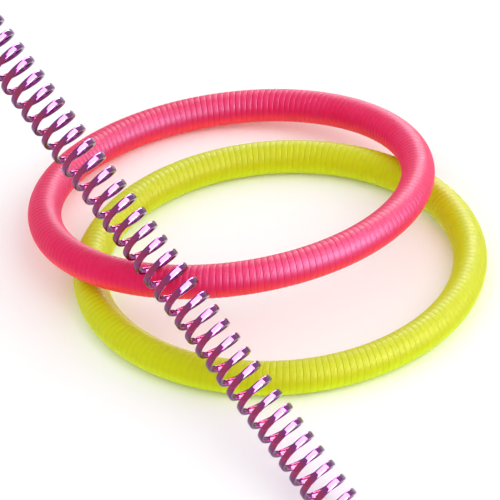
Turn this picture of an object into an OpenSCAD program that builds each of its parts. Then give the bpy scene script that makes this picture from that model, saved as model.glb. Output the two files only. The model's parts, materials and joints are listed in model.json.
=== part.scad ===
// Set of three spring coil toys: two closed coil rings and one open coil.
// The yellow-green ring lies flat, the pink ring leans on it, and the purple
// coil lies across both with its low end on the floor.

/* [Closed coil rings] */
// Radius of each ring, measured to the middle of its coil
ring_radius = 38; // [30:0.5:45]
// Outside diameter of the wound coil that a ring is made of
tube_diameter = 6.8; // [5:0.1:8]
// Thickness of the plastic strand that the rings are wound from
strand = 1.2; // [0.8:0.1:1.6]
// Free space at each bend, which lets a ring be squeezed to an oval
bend_gap = 0.76; // [0.7:0.01:1]

/* [How the pink ring leans] */
// Distance between the centres of the two rings, seen from above
lean_distance = 20.7; // [18:0.1:24]
// Heading from the yellow ring's centre to the pink ring's centre
lean_heading = 115; // [100:1:130]
// Tilt of the pink ring, with its far side on the floor
lean_tilt = 8.5; // [8.5:0.1:12]

/* [Open purple coil] */
// Number of turns in each separate group of turns
group_turns = 3; // [2:1:4]
// Radius of the purple coil, measured to the middle of its strand
coil_radius = 4.05; // [3.4:0.05:4.2]
// Spacing of the turns at the low end
low_pitch = 3.97; // [3.2:0.01:4.6]
// Spacing of the turns at the free end
high_pitch = 4.41; // [3.6:0.01:5.2]
// Width of the flattened strand, along the coil
ribbon_width = 1.35; // [1:0.05:1.5]
// Thickness of the flattened strand, across the coil
ribbon_thickness = 0.8; // [0.6:0.05:1]

/* [How the purple coil lies] */
// Distance of the low end's centre to the right of the yellow ring's centre
foot_x = 8.8; // [8:0.1:12]
// Distance of the low end's centre in front of the yellow ring's centre, as a negative number
foot_y = -84; // [-86:0.1:-80]
// Height of the low end's centre above the floor
foot_z = 3.7; // [3.7:0.05:4.5]
// Heading of the coil from its low end to its free end
coil_heading = 117; // [116:0.1:119]
// Slope of the coil, which rests on the pink ring part way up
coil_rise = 12.65; // [12.65:0.05:14]
// Heading of the line that the leaning turns face along
turn_heading = 128.9; // [125:0.1:133]
// Slope of the line that the leaning turns face along
turn_rise = 32.1; // [28:0.1:36]

/* [Hidden] */

$fn = 64;
tube_radius = tube_diameter / 2;
bore_radius = tube_radius - strand;
// Where each ring is parted, in degrees round it from the line through the two places
// where the rings cross. Nothing turns at the first place, which is also the last.
partings = [45, 75, 105, 165, 195, 255, 285, 345, 375, 405];
crossing_heading = lean_heading - 90;
bend_gap_angle = bend_gap / ring_radius * 180 / PI;
ends_gap_angle = 0.1;

// Number of groups of turns in the purple coil, from the low end to the free end
group_count = 12;
coil_turns = group_turns * group_count;
foot = [foot_x, foot_y, foot_z];
coil_axis = direction(coil_heading, coil_rise);
turn_axis = direction(turn_heading, turn_rise);
turn_across = unit(cross(coil_axis, turn_axis));
turn_down = cross(turn_axis, turn_across);
rings_per_turn = 16;
ribbon_sides = 8;
// A section corner's roundness: 1 is an ellipse and 0 is a rectangle
ribbon_roundness = 0.6;
// Part of a turn left free at each end of a group
group_gap = 0.006;

function direction(heading, rise) =
    [cos(heading) * cos(rise), sin(heading) * cos(rise), sin(rise)];

function unit(v) = v / norm(v);

function rounded(x) = sign(x) * pow(abs(x), ribbon_roundness);

// Distance of turn number t along the coil: the spacing grows evenly from end to end
function along(t) = low_pitch * t + (high_pitch - low_pitch) * t * t / (2 * coil_turns);

function spacing(t) = low_pitch + (high_pitch - low_pitch) * t / coil_turns;

function outwards(t) =
    cos(360 * t) * turn_across + sin(360 * t) * turn_down;

function forwards(t) =
    cos(360 * t) * turn_down - sin(360 * t) * turn_across;

// Corner number i of the strand's section at turn t: the section stands square to the
// strand, with its wide side along the coil. At a group's end each corner is carried along
// the strand to a plane that holds the coil's axis, so that groups slide past each other.
function ribbon_corner(t, i, at_end) =
    let (
        run = unit(2 * PI * coil_radius * forwards(t) + spacing(t) * coil_axis),
        wide = unit(cross(run, outwards(t))),
        thick = cross(wide, run),
        angle = 360 * (i + 0.5) / ribbon_sides,
        corner = ribbon_thickness / 2 * rounded(cos(angle)) * thick
            + ribbon_width / 2 * rounded(sin(angle)) * wide,
        end_face = cross(coil_axis, outwards(t)),
        carry = at_end ? (corner * end_face) / (run * end_face) : 0
    )
    foot + along(t) * coil_axis + coil_radius * outwards(t) + corner - carry * run;

// A closed strand from turn number t0 to turn number t1
module ribbon(t0, t1) {
    rings = rings_per_turn * group_turns;
    points = [
        for (r = [0 : rings], i = [0 : ribbon_sides - 1])
            ribbon_corner(t0 + (t1 - t0) * r / rings, i, r == 0 || r == rings)
    ];
    sides = [
        for (r = [0 : rings - 1], i = [0 : ribbon_sides - 1])
            let (
                a = r * ribbon_sides + i,
                b = r * ribbon_sides + (i + 1) % ribbon_sides
            )
            [a, b, b + ribbon_sides, a + ribbon_sides]
    ];
    low_end = [for (i = [ribbon_sides - 1 : -1 : 0]) i];
    high_end = [for (i = [0 : ribbon_sides - 1]) rings * ribbon_sides + i];
    polyhedron(points, concat([low_end], sides, [high_end]), convexity = 10);
}

// Group number k of the purple coil's turns, counted from its low end
module purple_turns(k) {
    color("purple")
        ribbon((k - 1) * group_turns + group_gap, k * group_turns - group_gap);
}

// Stretch number k of a closed ring that is centred on the origin, as a hollow bent tube
module ring_turns(k) {
    low_gap = k == 1 ? ends_gap_angle : bend_gap_angle;
    high_gap = k == len(partings) - 1 ? ends_gap_angle : bend_gap_angle;
    start = crossing_heading + partings[k - 1] + low_gap / 2;
    finish = crossing_heading + partings[k] - high_gap / 2;
    rotate([0, 0, start])
        rotate_extrude(angle = finish - start)
            translate([ring_radius, 0])
                difference() {
                    circle(tube_radius);
                    circle(bore_radius);
                }
}

module yellow_turns(k) {
    color("greenyellow")
        translate([0, 0, tube_radius])
            ring_turns(k);
}

module pink_turns(k) {
    color("deeppink")
        translate(lean_distance * direction(lean_heading, 0))
            translate([0, 0, tube_radius + ring_radius * sin(lean_tilt)])
                rotate(a = lean_tilt, v = direction(lean_heading + 90, 0))
                    ring_turns(k);
}

yellow_turns(1);  // yellow_turns_1
yellow_turns(2);  // yellow_turns_2
yellow_turns(3);  // yellow_turns_3
yellow_turns(4);  // yellow_turns_4
yellow_turns(5);  // yellow_turns_5
yellow_turns(6);  // yellow_turns_6
yellow_turns(7);  // yellow_turns_7
yellow_turns(8);  // yellow_turns_8
yellow_turns(9);  // yellow_turns_9
pink_turns(1);  // pink_turns_1
pink_turns(2);  // pink_turns_2
pink_turns(3);  // pink_turns_3
pink_turns(4);  // pink_turns_4
pink_turns(5);  // pink_turns_5
pink_turns(6);  // pink_turns_6
pink_turns(7);  // pink_turns_7
pink_turns(8);  // pink_turns_8
pink_turns(9);  // pink_turns_9
purple_turns(1);  // purple_turns_01
purple_turns(2);  // purple_turns_02
purple_turns(3);  // purple_turns_03
purple_turns(4);  // purple_turns_04
purple_turns(5);  // purple_turns_05
purple_turns(6);  // purple_turns_06
purple_turns(7);  // purple_turns_07
purple_turns(8);  // purple_turns_08
purple_turns(9);  // purple_turns_09
purple_turns(10);  // purple_turns_10
purple_turns(11);  // purple_turns_11
purple_turns(12);  // purple_turns_12
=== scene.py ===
"""Winds a set of spring coil toys round their CAD frame: two closed rings and one open coil.

All lengths are in metres and all angles are in radians, unless a name says otherwise.
"""

import json
import math

import bpy
import numpy as np
from bpy.props import (
    BoolProperty,
    FloatProperty,
    FloatVectorProperty,
    IntProperty,
    PointerProperty,
)
from mathutils import Matrix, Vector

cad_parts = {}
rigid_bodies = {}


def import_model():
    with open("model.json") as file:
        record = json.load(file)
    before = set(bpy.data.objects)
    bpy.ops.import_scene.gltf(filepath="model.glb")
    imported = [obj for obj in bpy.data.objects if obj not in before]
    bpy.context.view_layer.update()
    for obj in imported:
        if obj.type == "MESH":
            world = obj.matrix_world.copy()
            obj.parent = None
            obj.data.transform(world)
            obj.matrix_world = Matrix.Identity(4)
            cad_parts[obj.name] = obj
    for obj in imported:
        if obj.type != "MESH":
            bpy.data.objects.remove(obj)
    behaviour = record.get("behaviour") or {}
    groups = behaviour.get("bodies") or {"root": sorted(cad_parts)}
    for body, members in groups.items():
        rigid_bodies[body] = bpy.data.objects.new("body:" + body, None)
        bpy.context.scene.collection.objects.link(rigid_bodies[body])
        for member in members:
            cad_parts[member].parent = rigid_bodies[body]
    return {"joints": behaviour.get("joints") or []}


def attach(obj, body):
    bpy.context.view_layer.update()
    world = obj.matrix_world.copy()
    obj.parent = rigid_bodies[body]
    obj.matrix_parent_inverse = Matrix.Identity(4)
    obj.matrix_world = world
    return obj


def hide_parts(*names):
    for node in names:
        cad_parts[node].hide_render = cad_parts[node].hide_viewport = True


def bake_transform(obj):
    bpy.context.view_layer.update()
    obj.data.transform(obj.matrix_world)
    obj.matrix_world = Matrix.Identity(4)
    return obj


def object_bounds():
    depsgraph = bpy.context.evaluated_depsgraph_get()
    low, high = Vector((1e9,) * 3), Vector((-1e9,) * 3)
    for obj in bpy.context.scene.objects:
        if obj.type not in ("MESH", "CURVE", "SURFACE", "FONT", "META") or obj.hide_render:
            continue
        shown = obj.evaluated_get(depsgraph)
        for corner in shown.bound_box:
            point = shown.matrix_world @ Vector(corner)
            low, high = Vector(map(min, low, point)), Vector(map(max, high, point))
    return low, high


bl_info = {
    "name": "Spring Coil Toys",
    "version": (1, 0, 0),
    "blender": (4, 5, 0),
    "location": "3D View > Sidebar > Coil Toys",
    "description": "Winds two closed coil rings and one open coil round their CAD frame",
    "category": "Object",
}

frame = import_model()
CAD_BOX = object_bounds()
RIGHT = np.array([1.0, 0.0, 0.0])
# The Mix node's sockets for colours, by number because their names repeat
MIX_FIRST, MIX_SECOND, MIX_RESULT = 6, 7, 2
# Place of the extra row just inside each end of a strand, as a share of a step
HEM = 0.02
# The rounded ends of the open coil: rows in each, the angle of the first one round the end's
# outline, and the smallest size of a row as a share of the whole strand
NOSE_ROWS = 7
NOSE_FIRST_ANGLE = 0.2
NOSE_SMALLEST = 0.1


# ---------------------------------------------------------------- Vectors


def unit(v):
    """Each row of v divided by its length."""
    return v / np.linalg.norm(v, axis=-1, keepdims=True)


def direction(heading, rise):
    """The unit vector at a heading from +X about +Z and a rise above the floor."""
    level = np.array([math.cos(heading), math.sin(heading), 0.0])
    return math.cos(rise) * level + math.sin(rise) * np.array([0.0, 0.0, 1.0])


# ---------------------------------------------------------------- Shader recipes


class Wire:
    """A shader socket that can be used in Python sums: each operator adds one Math node."""

    def __init__(self, recipe, socket):
        self.recipe = recipe
        self.socket = socket

    def __add__(self, other):
        return self.recipe.maths("ADD", self, other)

    def __sub__(self, other):
        return self.recipe.maths("SUBTRACT", self, other)

    def __mul__(self, other):
        return self.recipe.maths("MULTIPLY", self, other)

    def __rsub__(self, other):
        return self.recipe.maths("SUBTRACT", other, self)

    __radd__ = __add__
    __rmul__ = __mul__


class Recipe:
    """A new material with a Principled shader, and the nodes that feed it."""

    def __init__(self, name):
        self.material = bpy.data.materials.new(name)
        self.material.use_nodes = True
        self.nodes = self.material.node_tree.nodes
        self.links = self.material.node_tree.links
        self.shader = self.nodes["Principled BSDF"]

    def feed(self, socket, value):
        """Links a wire to a socket, or sets the socket to a plain value."""
        if isinstance(value, Wire):
            self.links.new(value.socket, socket)
        else:
            socket.default_value = value

    def node(self, kind, settings=None, inputs=None, output=0):
        """Adds a node of any kind, gives it its settings and then its inputs."""
        node = self.nodes.new(kind)
        for name, value in (settings or {}).items():
            setattr(node, name, value)
        for key, value in (inputs or {}).items():
            self.feed(node.inputs[key], value)
        return Wire(self, node.outputs[output])

    def maths(self, operation, first, second=0.0):
        """One Math node. Operations that take only one value ignore the second."""
        return self.node("ShaderNodeMath", {"operation": operation}, {0: first, 1: second})

    def attribute(self, name):
        """A number stored on the points of a mesh."""
        return self.node("ShaderNodeAttribute", {"attribute_name": name}, output="Fac")

    def noise(self, scale, detail=3.0, roughness=0.5):
        """Noise in object coordinates, from 0 to 1."""
        place = self.node("ShaderNodeTexCoord", output="Object")
        inputs = {"Vector": place, "Scale": scale, "Detail": detail, "Roughness": roughness}
        return self.node("ShaderNodeTexNoise", inputs=inputs)

    def step(self, value, low, high):
        """0 at low and beyond it, 1 at high and beyond it, and a smooth change between them.
        Low can be the larger of the two."""
        settings = {"interpolation_type": "SMOOTHSTEP"}
        inputs = {"Value": value, "From Min": low, "From Max": high}
        return self.node("ShaderNodeMapRange", settings, inputs)

    def blend(self, share, first, second):
        """The colour that is first where share is 0 and second where it is 1."""
        inputs = {
            "Factor": share,
            MIX_FIRST: self.colour(first),
            MIX_SECOND: self.colour(second),
        }
        return self.node("ShaderNodeMix", {"data_type": "RGBA"}, inputs, MIX_RESULT)

    @staticmethod
    def colour(value):
        """A plain colour gets its alpha, and a wire stays as it is."""
        return value if isinstance(value, Wire) else (*value, 1.0)

    def bump(self, height, strength, distance):
        """A shading normal that follows a height, which is 1 at the distance given."""
        inputs = {"Height": height, "Strength": strength, "Distance": distance}
        return self.node("ShaderNodeBump", inputs=inputs)

    def finish(self, **inputs):
        """Feeds the shader's sockets, whose names have their spaces written as underscores."""
        for name, value in inputs.items():
            self.feed(self.shader.inputs[name.replace("_", " ")], value)
        return self.material


# ---------------------------------------------------------------- Meshes


def section(corners, roundness):
    """Corners of a strand's section, from -1 to 1 both ways. It is a circle whose sines and
    cosines are raised to the power roundness: 1 keeps the circle, smaller values square it."""
    angle = 2 * np.pi * (np.arange(corners) + 0.5) / corners
    around = np.column_stack([np.cos(angle), np.sin(angle)])
    return np.sign(around) * np.abs(around) ** roundness


def carry(path, run, outwards, profile, thickness, width):
    """Corners of a profile carried along a path: for each (x, y) of the profile they are at
    path + x * thickness / 2 * thick + y * width / 2 * wide, where wide is square to the run and
    to outwards, and thick is square to both. Thickness and width are given along the path."""
    wide = unit(np.cross(run, outwards)) * np.reshape(width, (-1, 1)) / 2
    thick = unit(np.cross(wide, run)) * np.reshape(thickness, (-1, 1)) / 2
    return path[:, None] + profile[:, :1] * thick[:, None] + profile[:, 1:] * wide[:, None]


def hemmed(grid):
    """The grid with one more row just inside each end. The lids bend the shading only as far as
    this row, so no seam shows where two pieces meet."""
    low = grid[:1] + HEM * (grid[1:2] - grid[:1])
    high = grid[-1:] + HEM * (grid[-2:-1] - grid[-1:])
    return np.concatenate([grid[:1], low, grid[1:-1], high, grid[-1:]])


def strand_piece(name, corners, material, marks):
    """A closed strand from its grid of corners (rows along it, columns round it), with smooth
    sides and a flat lid on each end. marks are numbers on the grid, kept as attributes."""
    shape = corners.shape[:2]
    marks = {mark: hemmed(np.broadcast_to(grid, shape)) for mark, grid in marks.items()}
    corners = hemmed(corners)
    rows, columns = corners.shape[:2]
    index = np.arange(rows * columns).reshape(rows, columns)
    beside = np.roll(index, -1, axis=1)
    sides = np.stack([index[:-1], beside[:-1], beside[1:], index[1:]], axis=-1).reshape(-1, 4)
    faces = sides.tolist() + [index[0, ::-1].tolist(), index[-1].tolist()]
    mesh = bpy.data.meshes.new(name)
    mesh.from_pydata(corners.reshape(-1, 3).tolist(), [], faces)
    smooth = np.ones(len(faces), bool)
    smooth[-2:] = False
    mesh.polygons.foreach_set("use_smooth", smooth)
    for mark, grid in marks.items():
        attribute = mesh.attributes.new(mark, "FLOAT", "POINT")
        attribute.data.foreach_set("value", grid.astype(np.float32).ravel())
    mesh.materials.append(material)
    piece = bpy.data.objects.new(name, mesh)
    bpy.context.scene.collection.objects.link(piece)
    return piece


# ---------------------------------------------------------------- Closed rings


def ring_frame(colour):
    """Where a ring lies, worked out from its bends: they stand in opposite pairs on the circle
    through the middle of its coil, so their mean is its centre. Bend k joins stretch k to
    stretch k + 1, and the ends meet half-way between the last bend and the first."""
    bends = [j for j in frame["joints"] if j["type"] == "hinge" and j["child"].startswith(colour)]
    bends.sort(key=lambda j: min(j["parent"], j["child"]))
    places = np.array([j["pos_m"] for j in bends])
    centre = places.mean(axis=0)
    normal = unit(np.array(bends[0]["axis"]))
    normal = normal * np.sign(normal[2])
    along_x = unit(places[0] - centre)
    along_y = np.cross(normal, along_x)
    angles = np.unwrap(np.arctan2((places - centre) @ along_y, (places - centre) @ along_x))
    half_gap = (2 * np.pi - (angles[-1] - angles[0])) / 2
    edges = np.concatenate([[angles[0] - half_gap], angles, [angles[-1] + half_gap]])
    return {
        "centre": centre,
        "normal": normal,
        "x": along_x,
        "y": along_y,
        "radius": np.linalg.norm(places[0] - centre),
        "edges": edges,
        "middles": (edges[:-1] + edges[1:]) / 2,
        "bodies": [f"{colour}_turns_{k + 1}" for k in range(len(edges) - 1)],
    }


def ring_outwards(ring, angle):
    """The way out of the ring's centre at an angle round it."""
    return np.cos(angle)[..., None] * ring["x"] + np.sin(angle)[..., None] * ring["y"]


def ring_place(ring, angle):
    """The middle of the coil at an angle round the ring."""
    return ring["centre"] + ring["radius"] * ring_outwards(ring, np.asarray(angle))


def wind_ring_piece(name, ring, start, finish, size, material):
    """A stretch of a ring's strand, wound on a bent tube: at angle a round the ring the strand
    is at angle b = turns * (a - first edge) round the tube, so its middle is at
    centre + (radius + r cos b) * outwards(a) + r sin b * normal, with r the winding radius.
    The strand is wider than its share of the ring by overlap, so neighbouring turns are fused
    at their edges and only shallow grooves are left between them."""
    winding = size.tube_radius - size.strand_thickness / 2
    rows = round((finish - start) / (2 * math.pi) * size.turns * size.steps_per_turn) + 1
    a = np.linspace(start, finish, rows)
    b = size.turns * (a - ring["edges"][0])
    out = ring_outwards(ring, a)
    forwards = np.cross(ring["normal"], out)
    around = np.cos(b)[:, None] * out + np.sin(b)[:, None] * ring["normal"]
    turning = np.cos(b)[:, None] * ring["normal"] - np.sin(b)[:, None] * out
    path = ring["centre"] + ring["radius"] * out + winding * around
    advance = (ring["radius"] + winding * np.cos(b))[:, None] * forwards
    run = unit(advance + size.turns * winding * turning)
    share = 2 * math.pi / size.turns * (ring["radius"] + size.tube_radius * np.cos(b))
    profile = section(size.strand_sides, size.strand_roundness)
    corners = carry(path, run, around, profile, size.strand_thickness, share * size.overlap)
    # upwards steers the painted glow on the underside, and lane the painted shade in the grooves
    # and the drawing lines
    marks = {
        "upwards": around[:, 2:3],
        "lane": profile[None, :, 1] * size.overlap,
    }
    return strand_piece(name, corners, material, marks)


def wind_ring(colour, size, material):
    """Winds a whole ring. Its pieces meet in the middle of each stretch between two bends. The
    first piece goes with the first stretch's body and the last piece with the last one's; the
    pieces between them stay where they are wound, with no body. Nothing turns where the ends meet,
    so the two end pieces are rigid."""
    ring = ring_frame(colour)
    bodies = ring["bodies"]
    cuts = np.concatenate([[ring["edges"][0]], ring["middles"], [ring["edges"][-1]]])
    for k in range(len(cuts) - 1):
        name = f"{colour}_strand_{k + 1}"
        piece = wind_ring_piece(name, ring, cuts[k], cuts[k + 1], size, material)
        if k == 0:
            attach(piece, bodies[0])
        elif k == len(bodies):
            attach(piece, bodies[-1])
        else:
            start = ring_place(ring, cuts[k])
            end = ring_place(ring, cuts[k + 1])
            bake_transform(piece)
        if k < len(bodies):
            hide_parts(bodies[k])


# Scales of the plastic's noise, in repeats for each metre
STREAK_SCALE = 160.0
PLASTIC_GRAIN_SCALE = 2600.0
# Where each change in the plastic starts and where it is complete: the painted glow by upwards,
# the painted groove shade by the size of lane, and the streaks of painted sheen by their noise
PAINTED_GLOW_RANGE = (0.40, -0.25)
GROOVE_SHADE_RANGE = (0.6, 1.0)
STREAK_RANGE = (0.35, 0.75)
# How far the streaks shift the painted glow, and how strongly the painted sheen shows in them
STREAK_SHIFT = 0.3
STREAK_SHARE = 0.08
# What the grain adds to the roughness, and the heights of the drawing lines and the grain
PLASTIC_GRAIN_ROUGHNESS = 0.08
LINE_HEIGHT = 0.5
PLASTIC_GRAIN_HEIGHT = 0.05


def neon_plastic(name, colours):
    """Satin translucent plastic, with painted light: a redder painted glow on the underside, and
    painted shade in the grooves between the turns, where lane, the place across the strand, is
    near 1 or -1.
    The shade and glow colours are also given out as emission, and random streaks of painted sheen
    lie over the body. Fine drawing lines run along the strand at even steps of lane."""
    recipe = Recipe(name)
    upwards = recipe.attribute("upwards")
    lane = recipe.attribute("lane")
    streaks = recipe.noise(STREAK_SCALE, detail=4.0, roughness=0.6)
    grain = recipe.noise(PLASTIC_GRAIN_SCALE, detail=2.0)
    # Painted glow: a redder colour painted on the underside of the tube, by upwards
    glow = recipe.step(upwards + STREAK_SHIFT * streaks, *PAINTED_GLOW_RANGE)
    groove = recipe.maths("ABSOLUTE", lane)
    lines = recipe.maths("SINE", lane * (2 * math.pi * colours.lines))
    body = recipe.blend(glow, tuple(colours.body), tuple(colours.glow))
    # Painted shade: a darker colour painted in the grooves between the turns
    groove_shade_mask = recipe.step(groove, *GROOVE_SHADE_RANGE) * colours.groove_shade_share
    body = recipe.blend(groove_shade_mask, body, tuple(colours.deep))
    # Random streaks of painted sheen: a pale highlight colour laid over the body
    painted_sheen_share = recipe.step(streaks, *STREAK_RANGE) * STREAK_SHARE
    body = recipe.blend(painted_sheen_share, body, tuple(colours.sheen))
    height = lines * LINE_HEIGHT + grain * PLASTIC_GRAIN_HEIGHT
    return recipe.finish(
        Base_Color=body,
        Roughness=colours.roughness + PLASTIC_GRAIN_ROUGHNESS * grain,
        Normal=recipe.bump(height, 1.0, colours.line_depth),
        Subsurface_Weight=0.3,
        Subsurface_Radius=(1.0, 0.5, 0.5),
        Subsurface_Scale=0.001,
        Specular_IOR_Level=0.22,
        Specular_Tint=(*colours.gloss, 1.0),
        # Painted glow: the shade colour given out as light, and the glow colour on the underside
        Emission_Color=recipe.blend(glow, tuple(colours.deep), tuple(colours.glow)),
        Emission_Strength=colours.painted_glow_strength,
    )


# ---------------------------------------------------------------- Open coil


class CoilPath:
    """The open coil's strand at turn number t, counted from its low end: the point
    foot + along(t) * axis + radius * outwards(t), where outwards goes once round for each turn
    in the leaning plane of the turns, and the spacing grows evenly from end to end."""

    def __init__(self, size):
        self.size = size
        self.axis = unit(np.array(coil_slides()[0]["axis"]))
        self.turn_axis = direction(size.turn_heading, size.turn_rise)
        self.across = unit(np.cross(self.axis, self.turn_axis))
        self.down = np.cross(self.turn_axis, self.across)
        self.groups = len(coil_bodies())
        self.turns = size.group_turns * self.groups

    def spacing(self, t):
        """Distance between turns at t, which grows evenly from low_pitch to high_pitch."""
        grown = (self.size.high_pitch - self.size.low_pitch) * t / self.turns
        return self.size.low_pitch + grown

    def along(self, t):
        """Distance of t along the axis: t times the mean of the spacings at 0 and at t."""
        return t * (self.size.low_pitch + self.spacing(t)) / 2

    def middle(self, t):
        """The point of the axis that is level with t: foot + along(t) * axis."""
        return np.array(self.size.foot) + self.along(t)[..., None] * self.axis

    def outwards(self, t):
        """The way out of the axis at t: cos(angle) * across + sin(angle) * down."""
        angle = 2 * np.pi * t
        return np.cos(angle)[..., None] * self.across + np.sin(angle)[..., None] * self.down

    def run(self, t):
        """The way that the strand runs at t: the change of its place with t, as a unit vector."""
        angle = 2 * np.pi * t
        round_about = np.cos(angle)[..., None] * self.down - np.sin(angle)[..., None] * self.across
        advance = self.spacing(t)[..., None] * self.axis
        return unit(2 * np.pi * self.size.radius * round_about + advance)


def coil_slides():
    """The slides between the open coil's groups of turns, from its low end to its free end."""
    slides = [j for j in frame["joints"] if j["name"].startswith("purple_stretch")]
    return sorted(slides, key=lambda j: j["child"])


def coil_bodies():
    """The open coil's bodies, from its low end to its free end."""
    slides = coil_slides()
    return [slides[0]["parent"]] + [j["child"] for j in slides]


def wind_coil_piece(name, path, start, finish, material):
    """The open coil's strand from turn number start to turn number finish. At the coil's own
    two ends the strand is rounded off like half an ellipsoid."""
    size = path.size
    t = np.linspace(start, finish, round((finish - start) * size.steps_per_turn) + 1)
    turn_length = math.hypot(2 * math.pi * size.radius, size.low_pitch)
    nose = size.ribbon_thickness / 2 / turn_length
    bend = nose * (1 - np.cos(np.linspace(NOSE_FIRST_ANGLE, np.pi / 2, NOSE_ROWS)))
    if start == 0:
        t = np.concatenate([bend, t[t > nose]])
    if finish == path.turns:
        t = np.concatenate([t[t < finish - nose], finish - bend[::-1]])
    to_end = np.minimum(t, path.turns - t) / nose
    swell = np.sqrt(np.clip(1 - (1 - np.clip(to_end, 0, 1)) ** 2, NOSE_SMALLEST ** 2, 1))
    out = path.outwards(t)
    line = path.middle(t) + size.radius * out
    profile = section(size.ribbon_sides, size.ribbon_roundness)
    thickness = swell * size.ribbon_thickness
    width = swell * size.ribbon_width
    corners = carry(line, path.run(t), out, profile, thickness, width)
    # edge and across steer the wire's painted shading: bluer rounded edges, and colours that
    # change round each turn
    marks = {"edge": np.abs(profile[None, :, 1]), "across": np.cos(2 * np.pi * t)[:, None]}
    return strand_piece(name, corners, material, marks)


def share_to_place(share):
    """The place whose smooth step, place^2 * (3 - 2 * place), is this share."""
    return 0.5 - math.sin(math.asin(1 - 2 * share) / 3)


def wind_coil(size, material):
    """Winds the whole open coil. Between the middles of two groups the strand is parted into half
    turns. For half turn h of n the places h/n and (h + 1)/n of the way from one group's body to
    the next, measured across the coil and not along it, are worked out, but nothing uses them: the
    half turns stay where they are wound, with no body. The low end goes with the first group's
    body and the high end with the last."""
    path = CoilPath(size)
    bodies = coil_bodies()
    halves = 2 * size.group_turns
    first = size.group_turns / 2
    low_end = wind_coil_piece("purple_strand_low_end", path, 0, first, material)
    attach(low_end, bodies[0])
    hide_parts(bodies[0])
    for k in range(len(bodies) - 1):
        for h in range(halves):
            t = first + k * size.group_turns + h / 2
            name = f"purple_strand_{k + 1:02d}_{h + 1}"
            piece = wind_coil_piece(name, path, t, t + 0.5, material)
            side = path.outwards(np.array(t)) * size.radius
            low = share_to_place(h / halves)
            high = share_to_place((h + 1) / halves)
            step = -2 * side / (high - low)
            start = path.middle(np.array(t)) + side - step * low
            start + step
            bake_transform(piece)
            if h == 0:
                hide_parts(bodies[k + 1])
    last = path.turns - first
    high_end = wind_coil_piece("purple_strand_high_end", path, last, path.turns, material)
    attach(high_end, bodies[-1])


# Scale of the wire's noise, in repeats for each metre
WIRE_GRAIN_SCALE = 900.0
# Where each change in the wire's painted shading starts and where it is complete: the first three
# by across, and the painted rim shade by edge
CRIMSON_RANGE = (0.15, -0.35)
FAR_VIOLET_RANGE = (-0.60, -0.95)
INDIGO_RANGE = (0.62, 0.95)
RIM_SHADE_RANGE = (0.6, 1.0)
RIM_SHADE_SHARE = 0.5
# Width of the band over which the grain shifts the first three
GRAIN_SHIFT = 0.2
# The wire's roughness and what its grain adds to it, and the strength and depth of the grain
WIRE_ROUGHNESS = 0.07
WIRE_GRAIN_ROUGHNESS = 0.05
WIRE_GRAIN_STRENGTH = 0.05
WIRE_GRAIN_DEPTH = 0.00003


def purple_metal(colours):
    """Anodised violet flattened wire under clear lacquer, with painted shading that changes across
    each turn: indigo where across is 1, then violet, crimson, and violet again where across is -1.
    Its rounded edges have a bluer painted shade than its flat faces."""
    recipe = Recipe("purple_metal")
    edge = recipe.attribute("edge")
    across = recipe.attribute("across")
    grain = recipe.noise(WIRE_GRAIN_SCALE)
    # Painted shading round each turn, by across: indigo, violet, crimson and violet again
    drift = across + GRAIN_SHIFT * grain - GRAIN_SHIFT / 2
    warm = recipe.step(drift, *CRIMSON_RANGE)
    flat = recipe.blend(warm, tuple(colours.violet), tuple(colours.crimson))
    flat = recipe.blend(recipe.step(drift, *FAR_VIOLET_RANGE), flat, tuple(colours.violet))
    flat = recipe.blend(recipe.step(drift, *INDIGO_RANGE), flat, tuple(colours.indigo))
    # Painted shade on the rounded edges
    rim = recipe.step(edge, *RIM_SHADE_RANGE) * RIM_SHADE_SHARE
    return recipe.finish(
        Base_Color=recipe.blend(rim, flat, tuple(colours.rim)),
        Metallic=1.0,
        Specular_Tint=(0.40, 0.08, 0.42, 1.0),
        Roughness=WIRE_ROUGHNESS + WIRE_GRAIN_ROUGHNESS * grain,
        Normal=recipe.bump(grain, WIRE_GRAIN_STRENGTH, WIRE_GRAIN_DEPTH),
        Coat_Weight=1.0,
        Coat_Roughness=0.04,
    )


# ---------------------------------------------------------------- Stage


def face(towards, beside):
    """The turn of a lamp or a camera that lies towards a direction from its aim and looks back
    at it, with its own X axis as near as it can be to beside."""
    back = unit(np.array(towards))
    up = unit(np.cross(back, beside))
    return Matrix(np.column_stack([np.cross(up, back), up, back]).tolist()).to_euler()


def softbox(name, aim, settings):
    """A rectangular lamp of even brightness that faces the aim from a distance."""
    lamp = bpy.data.lights.new(name, "AREA")
    lamp.shape = "RECTANGLE"
    lamp.size = settings.width
    lamp.size_y = settings.height
    lamp.energy = settings.radiance * math.pi * settings.width * settings.height
    rig = bpy.data.objects.new(name, lamp)
    bpy.context.scene.collection.objects.link(rig)
    rig.location = np.array(aim) + settings.distance * unit(np.array(settings.towards))
    rig.rotation_euler = face(settings.towards, settings.beside)
    rig.visible_camera = False
    rig.visible_diffuse = not settings.reflection_only


# Scale of the floor's speckle, in repeats for each metre, and how strongly it shows
SPECKLE_SCALE = 40.0
SPECKLE_SHARE = 0.2


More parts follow.
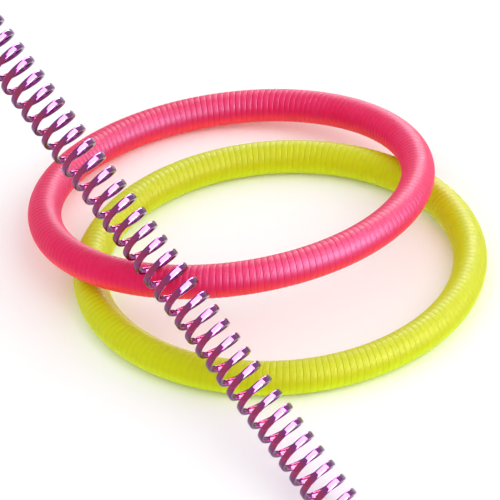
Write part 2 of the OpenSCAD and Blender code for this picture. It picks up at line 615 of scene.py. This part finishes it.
def pale_floor(stage):
    """A plain matt floor a hair below the lowest point of the toys, and a white sky."""
    half = stage.floor_size / 2
    level = CAD_BOX[0][2] - stage.floor_gap
    sides = ((-half, -half), (half, -half), (half, half), (-half, half))
    corners = [(x, y, level) for x, y in sides]
    mesh = bpy.data.meshes.new("floor")
    mesh.from_pydata(corners, [], [(0, 1, 2, 3)])
    recipe = Recipe("pale_floor")
    speckle = recipe.noise(SPECKLE_SCALE) * SPECKLE_SHARE
    shade = recipe.blend(speckle, tuple(stage.floor_colour), tuple(stage.speckle_colour))
    mesh.materials.append(recipe.finish(Base_Color=shade, Roughness=0.9, Specular_IOR_Level=0.1))
    floor = bpy.data.objects.new("floor", mesh)
    bpy.context.scene.collection.objects.link(floor)
    world = bpy.data.worlds.new("white_sky")
    world.use_nodes = True
    sky = world.node_tree.nodes["Background"].inputs
    sky["Color"].default_value = (1.0, 1.0, 1.0, 1.0)
    sky["Strength"].default_value = stage.sky_strength
    bpy.context.scene.world = world


def place_camera(stage):
    """A long lens that looks down at the rings from the front."""
    lens = bpy.data.cameras.new("camera")
    lens.sensor_width = stage.sensor
    lens.lens = stage.focal_length
    lens.clip_end = 10.0
    camera = bpy.data.objects.new("camera", lens)
    bpy.context.scene.collection.objects.link(camera)
    back = direction(-math.pi / 2, stage.camera_rise)
    aim = np.array(stage.aim)
    up = np.cross(back, RIGHT)
    camera.location = aim + stage.camera_distance * back
    beside = math.cos(stage.camera_roll) * RIGHT - math.sin(stage.camera_roll) * up
    camera.rotation_euler = face(back, beside)
    bpy.context.scene.camera = camera


# ---------------------------------------------------------------- Settings


class RingSettings(bpy.types.PropertyGroup):
    """The wound strand of both closed rings."""

    turns: IntProperty(
        name="Turns",
        description="Turns of the strand in one ring",
        default=190,
        min=20,
    )
    tube_radius: FloatProperty(
        name="Tube radius",
        description="Outside radius of the wound coil",
        default=0.0034,
        unit="LENGTH",
    )
    strand_thickness: FloatProperty(
        name="Strand thickness",
        description="Thickness of the strand across the coil",
        default=0.0012,
        unit="LENGTH",
    )
    strand_roundness: FloatProperty(
        name="Strand roundness",
        description="1 is a round strand and smaller values flatten it",
        default=0.57,
    )
    overlap: FloatProperty(
        name="Overlap",
        description="Width of the strand divided by the spacing of its turns",
        default=1.40,
        min=1.0,
    )
    strand_sides: IntProperty(
        name="Strand sides",
        description="Corners of the strand's section",
        default=16,
        min=6,
    )
    steps_per_turn: IntProperty(
        name="Steps per turn",
        description="Sections along each turn",
        default=44,
        min=12,
    )


class NeonColours(bpy.types.PropertyGroup):
    """The colours of one ring's plastic."""

    body: FloatVectorProperty(
        name="Body",
        description="Colour of the lit plastic",
        subtype="COLOR",
        default=(0.8, 0.05, 0.15),
    )
    # Painted glow: the redder colour painted on the underside of the tube, and given out there as
    # emission
    glow: FloatVectorProperty(
        name="Glow",
        description="Colour of the light that comes out of the underside",
        subtype="COLOR",
        default=(0.8, 0.05, 0.15),
    )
    # Painted shade: the darker colour painted in the grooves between the turns, and given out as
    # emission above the underside
    deep: FloatVectorProperty(
        name="Deep",
        description="Colour between the turns",
        subtype="COLOR",
        default=(0.8, 0.05, 0.15),
    )
    # Painted sheen: a pale highlight colour laid in random streaks over the body
    sheen: FloatVectorProperty(
        name="Sheen",
        description="Colour of the pale streaks of dye",
        subtype="COLOR",
        default=(0.8, 0.05, 0.15),
    )
    gloss: FloatVectorProperty(
        name="Gloss",
        description="Colour of the highlights",
        subtype="COLOR",
        default=(1.0, 1.0, 1.0),
    )
    # Strength of the painted glow, the emission of the painted shade and glow colours
    painted_glow_strength: FloatProperty(
        name="Glow strength",
        description="Light that the dye gives back by itself",
        default=0.12,
        min=0.0,
    )
    # Share of painted shade in the grooves between the turns
    groove_shade_share: FloatProperty(
        name="Groove colour",
        description="Share of the deep colour between the turns",
        default=0.12,
        min=0.0,
        max=1.0,
    )
    lines: FloatProperty(
        name="Drawing lines",
        description="Drawing lines in half the spacing of the turns",
        default=2.5,
        min=0.0,
    )
    line_depth: FloatProperty(
        name="Line depth",
        description="Depth of the drawing lines",
        default=0.00002,
        unit="LENGTH",
    )
    roughness: FloatProperty(
        name="Roughness",
        description="Roughness of the plastic's surface",
        default=0.42,
        min=0.0,
        max=1.0,
    )


class CoilSettings(bpy.types.PropertyGroup):
    """The open coil, with the same sizes as its CAD frame."""

    group_turns: IntProperty(
        name="Turns in a group",
        description="Turns of the coil that move with one body",
        default=3,
        min=1,
    )
    radius: FloatProperty(
        name="Radius",
        description="Radius of the coil to the middle of its strand",
        default=0.00405,
        unit="LENGTH",
    )
    low_pitch: FloatProperty(
        name="Spacing at the low end",
        description="Distance between turns at the low end",
        default=0.00397,
        unit="LENGTH",
    )
    high_pitch: FloatProperty(
        name="Spacing at the free end",
        description="Distance between turns at the free end",
        default=0.00441,
        unit="LENGTH",
    )
    ribbon_width: FloatProperty(
        name="Ribbon width",
        description="Width of the flattened strand, along the coil",
        default=0.00135,
        unit="LENGTH",
    )
    ribbon_thickness: FloatProperty(
        name="Ribbon thickness",
        description="Thickness of the flattened strand, across the coil",
        default=0.0008,
        unit="LENGTH",
    )
    ribbon_sides: IntProperty(
        name="Ribbon sides",
        description="Corners of the strand's section",
        default=16,
        min=8,
    )
    ribbon_roundness: FloatProperty(
        name="Ribbon roundness",
        description="1 is an ellipse and smaller values square it off",
        default=0.5,
    )
    steps_per_turn: IntProperty(
        name="Steps per turn",
        description="Sections along each turn",
        default=56,
        min=12,
    )
    foot: FloatVectorProperty(
        name="Foot",
        description="Middle of the coil at its low end",
        subtype="TRANSLATION",
        unit="LENGTH",
        default=(0.0088, -0.084, 0.0037),
    )
    turn_heading: FloatProperty(
        name="Turn heading",
        description="Heading of the line that the leaning turns face along",
        default=math.radians(128.9),
        subtype="ANGLE",
    )
    turn_rise: FloatProperty(
        name="Turn rise",
        description="Slope of the line that the leaning turns face along",
        default=math.radians(32.1),
        subtype="ANGLE",
    )


class MetalColours(bpy.types.PropertyGroup):
    """The colours of the open coil's wire."""

    # Painted shade: a darker indigo painted on the side of each turn where it starts
    indigo: FloatVectorProperty(
        name="Indigo",
        description="Colour on the side of each turn where it starts",
        subtype="COLOR",
        default=(0.125, 0.010, 0.150),
    )
    violet: FloatVectorProperty(
        name="Violet",
        description="Colour between the other two, and half-way round each turn",
        subtype="COLOR",
        default=(0.150, 0.006, 0.140),
    )
    # Painted shading in crimson, just before and just after half-way round each turn
    crimson: FloatVectorProperty(
        name="Crimson",
        description="Colour just before and just after half-way round each turn",
        subtype="COLOR",
        default=(0.270, 0.003, 0.070),
    )
    # Painted shade: the bluer colour painted on the wire's rounded edges
    rim: FloatVectorProperty(
        name="Rim",
        description="Colour of the wire's rounded edges",
        subtype="COLOR",
        default=(0.180, 0.015, 0.200),
    )


class LampSettings(bpy.types.PropertyGroup):
    """One softbox."""

    towards: FloatVectorProperty(
        name="Towards",
        description="Way from the toys to the lamp",
        subtype="XYZ",
        default=(0.0, 0.0, 1.0),
    )
    beside: FloatVectorProperty(
        name="Beside",
        description="Way that the lamp's width runs, as near as it can",
        subtype="XYZ",
        default=(1.0, 0.0, 0.0),
    )
    distance: FloatProperty(
        name="Distance",
        description="Distance from the toys to the lamp",
        default=0.6,
        unit="LENGTH",
    )
    width: FloatProperty(
        name="Width",
        description="Width of the lamp",
        default=0.5,
        unit="LENGTH",
    )
    height: FloatProperty(
        name="Height",
        description="Height of the lamp",
        default=0.5,
        unit="LENGTH",
    )
    radiance: FloatProperty(
        name="Radiance",
        description="Brightness of the lamp's face",
        default=1.0,
        min=0.0,
    )
    reflection_only: BoolProperty(
        name="Reflection only",
        description="Whether the lamp is seen only in shiny surfaces",
        default=True,
    )


class StageSettings(bpy.types.PropertyGroup):
    """The floor, the sky and the camera."""

    floor_size: FloatProperty(
        name="Floor size",
        description="Side of the floor",
        default=6.0,
        unit="LENGTH",
    )
    floor_gap: FloatProperty(
        name="Floor gap",
        description="Gap between the floor and the lowest point of the toys",
        default=0.00005,
        unit="LENGTH",
    )
    floor_colour: FloatVectorProperty(
        name="Floor colour",
        description="Colour of the floor",
        subtype="COLOR",
        default=(0.96, 0.96, 0.96),
    )
    speckle_colour: FloatVectorProperty(
        name="Speckle colour",
        description="Colour of the floor's faint speckle",
        subtype="COLOR",
        default=(0.94, 0.94, 0.94),
    )
    sky_strength: FloatProperty(
        name="Sky strength",
        description="Brightness of the white sky",
        default=1.0,
    )
    sensor: FloatProperty(
        name="Sensor",
        description="Width of the camera's sensor, in millimetres",
        default=36.0,
    )
    focal_length: FloatProperty(
        name="Focal length",
        description="Focal length of the long lens, in millimetres",
        default=403.2,
    )
    camera_distance: FloatProperty(
        name="Camera distance",
        description="Distance from the camera to its aim",
        default=1.1205,
        unit="LENGTH",
    )
    camera_rise: FloatProperty(
        name="Camera rise",
        description="Angle at which the camera looks down",
        default=math.radians(35.26),
        subtype="ANGLE",
    )
    camera_roll: FloatProperty(
        name="Camera roll",
        description="Clockwise turn of the camera about its line of sight",
        default=math.radians(4.06),
        subtype="ANGLE",
    )
    aim: FloatVectorProperty(
        name="Aim",
        description="Point that the camera looks at",
        subtype="TRANSLATION",
        unit="LENGTH",
        default=(-0.00576, 0.0035, 0.00494),
    )


class CoilToySettings(bpy.types.PropertyGroup):
    """Everything that a user would change."""

    rings: PointerProperty(type=RingSettings)
    pink: PointerProperty(type=NeonColours)
    yellow: PointerProperty(type=NeonColours)
    coil: PointerProperty(type=CoilSettings)
    metal: PointerProperty(type=MetalColours)
    stage: PointerProperty(type=StageSettings)
    mirror_lamp: PointerProperty(type=LampSettings)
    sheen_lamp: PointerProperty(type=LampSettings)
    rim_lamp: PointerProperty(type=LampSettings)
    key_lamp: PointerProperty(type=LampSettings)


# ---------------------------------------------------------------- Operators


class COILTOYS_OT_yellow_ring(bpy.types.Operator):
    """Wind the yellow-green ring that lies flat"""

    bl_idname = "coiltoys.yellow_ring"
    bl_label = "Wind Yellow Ring"

    def execute(self, context):
        settings = context.scene.coil_toys
        wind_ring("yellow", settings.rings, neon_plastic("yellow_plastic", settings.yellow))
        return {"FINISHED"}


class COILTOYS_OT_pink_ring(bpy.types.Operator):
    """Wind the pink ring that leans on the yellow one"""

    bl_idname = "coiltoys.pink_ring"
    bl_label = "Wind Pink Ring"

    def execute(self, context):
        settings = context.scene.coil_toys
        wind_ring("pink", settings.rings, neon_plastic("pink_plastic", settings.pink))
        return {"FINISHED"}


class COILTOYS_OT_purple_coil(bpy.types.Operator):
    """Wind the open purple coil that lies across both rings"""

    bl_idname = "coiltoys.purple_coil"
    bl_label = "Wind Purple Coil"

    def execute(self, context):
        settings = context.scene.coil_toys
        wind_coil(settings.coil, purple_metal(settings.metal))
        return {"FINISHED"}


class COILTOYS_OT_stage(bpy.types.Operator):
    """Set up the camera, the floor, the sky and the lamps"""

    bl_idname = "coiltoys.stage"
    bl_label = "Set Up Stage"

    def execute(self, context):
        settings = context.scene.coil_toys
        context.scene.view_settings.view_transform = "Standard"
        place_camera(settings.stage)
        pale_floor(settings.stage)
        for name in LAMPS:
            softbox(name, settings.stage.aim, getattr(settings, name))
        return {"FINISHED"}


class COILTOYS_PT_panel(bpy.types.Panel):
    """Lists the operators and the settings"""

    bl_label = "Coil Toys"
    bl_idname = "COILTOYS_PT_panel"
    bl_space_type = "VIEW_3D"
    bl_region_type = "UI"
    bl_category = "Coil Toys"

    def draw(self, context):
        for operator in OPERATORS:
            self.layout.operator(operator.bl_idname)
        settings = context.scene.coil_toys
        for group_name in CoilToySettings.__annotations__:
            group = getattr(settings, group_name)
            box = self.layout.box()
            box.label(text=group_name.replace("_", " ").capitalize())
            for name in type(group).__annotations__:
                box.prop(group, name)


OPERATORS = (
    COILTOYS_OT_stage,
    COILTOYS_OT_yellow_ring,
    COILTOYS_OT_pink_ring,
    COILTOYS_OT_purple_coil,
)
LAMPS = ("mirror_lamp", "sheen_lamp", "rim_lamp", "key_lamp")
CLASSES = (
    RingSettings,
    NeonColours,
    CoilSettings,
    MetalColours,
    LampSettings,
    StageSettings,
    CoilToySettings,
    *OPERATORS,
    COILTOYS_PT_panel,
)


def register():
    for cls in CLASSES:
        bpy.utils.register_class(cls)
    bpy.types.Scene.coil_toys = PointerProperty(type=CoilToySettings)


def unregister():
    del bpy.types.Scene.coil_toys
    for cls in reversed(CLASSES):
        bpy.utils.unregister_class(cls)


def choose_colours(settings):
    """The two rings share one recipe and differ in their colours, their painted glow, shade and
    sheen among them.
    """
    pink = settings.pink
    pink.body = (0.68, 0.004, 0.070)
    # body is the plastic's own colour; glow, the groove shade and sheen are painted light
    pink.glow = (0.86, 0.042, 0.050)
    pink.deep = (0.60, 0.003, 0.05)
    pink.sheen = (0.85, 0.10, 0.32)
    pink.gloss = (0.35, 0.58, 1.0)
    yellow = settings.yellow
    yellow.body = (0.52, 0.55, 0.004)
    yellow.glow = (0.56, 0.68, 0.006)
    yellow.deep = (0.45, 0.42, 0.003)
    yellow.sheen = (0.62, 0.64, 0.04)
    yellow.gloss = (0.36, 0.34, 0.18)


def choose_lamps(settings):
    """A large lamp for the wire's bright patches, two lower ones for the rings' sheen, one from
    the front and one from behind, and a weak one that lights everything."""
    mirror = settings.mirror_lamp
    mirror.towards = (0.65, -0.20, 0.73)
    mirror.beside = (0.47, 0.86, -0.18)
    mirror.width = 0.75
    mirror.height = 0.84
    mirror.radiance = 14.0
    sheen = settings.sheen_lamp
    sheen.towards = (0.73, -0.56, 0.40)
    sheen.beside = (0.56, 0.73, 0.0)
    sheen.width = 0.54
    sheen.height = 0.38
    sheen.radiance = 46.0
    rim = settings.rim_lamp
    rim.towards = (0.28, 0.82, 0.50)
    rim.beside = (-0.82, 0.28, 0.0)
    rim.width = 0.20
    rim.height = 0.50
    rim.radiance = 19.0
    key = settings.key_lamp
    key.towards = (0.5, -0.5, 0.7)
    key.distance = 0.8
    key.width = 0.6
    key.height = 0.6
    key.reflection_only = False


def main():
    """Makes every piece and the stage."""
    register()
    choose_colours(bpy.context.scene.coil_toys)
    choose_lamps(bpy.context.scene.coil_toys)
    bpy.ops.coiltoys.stage()
    bpy.ops.coiltoys.yellow_ring()
    bpy.ops.coiltoys.pink_ring()
    bpy.ops.coiltoys.purple_coil()


if __name__ == "__main__":
    main()
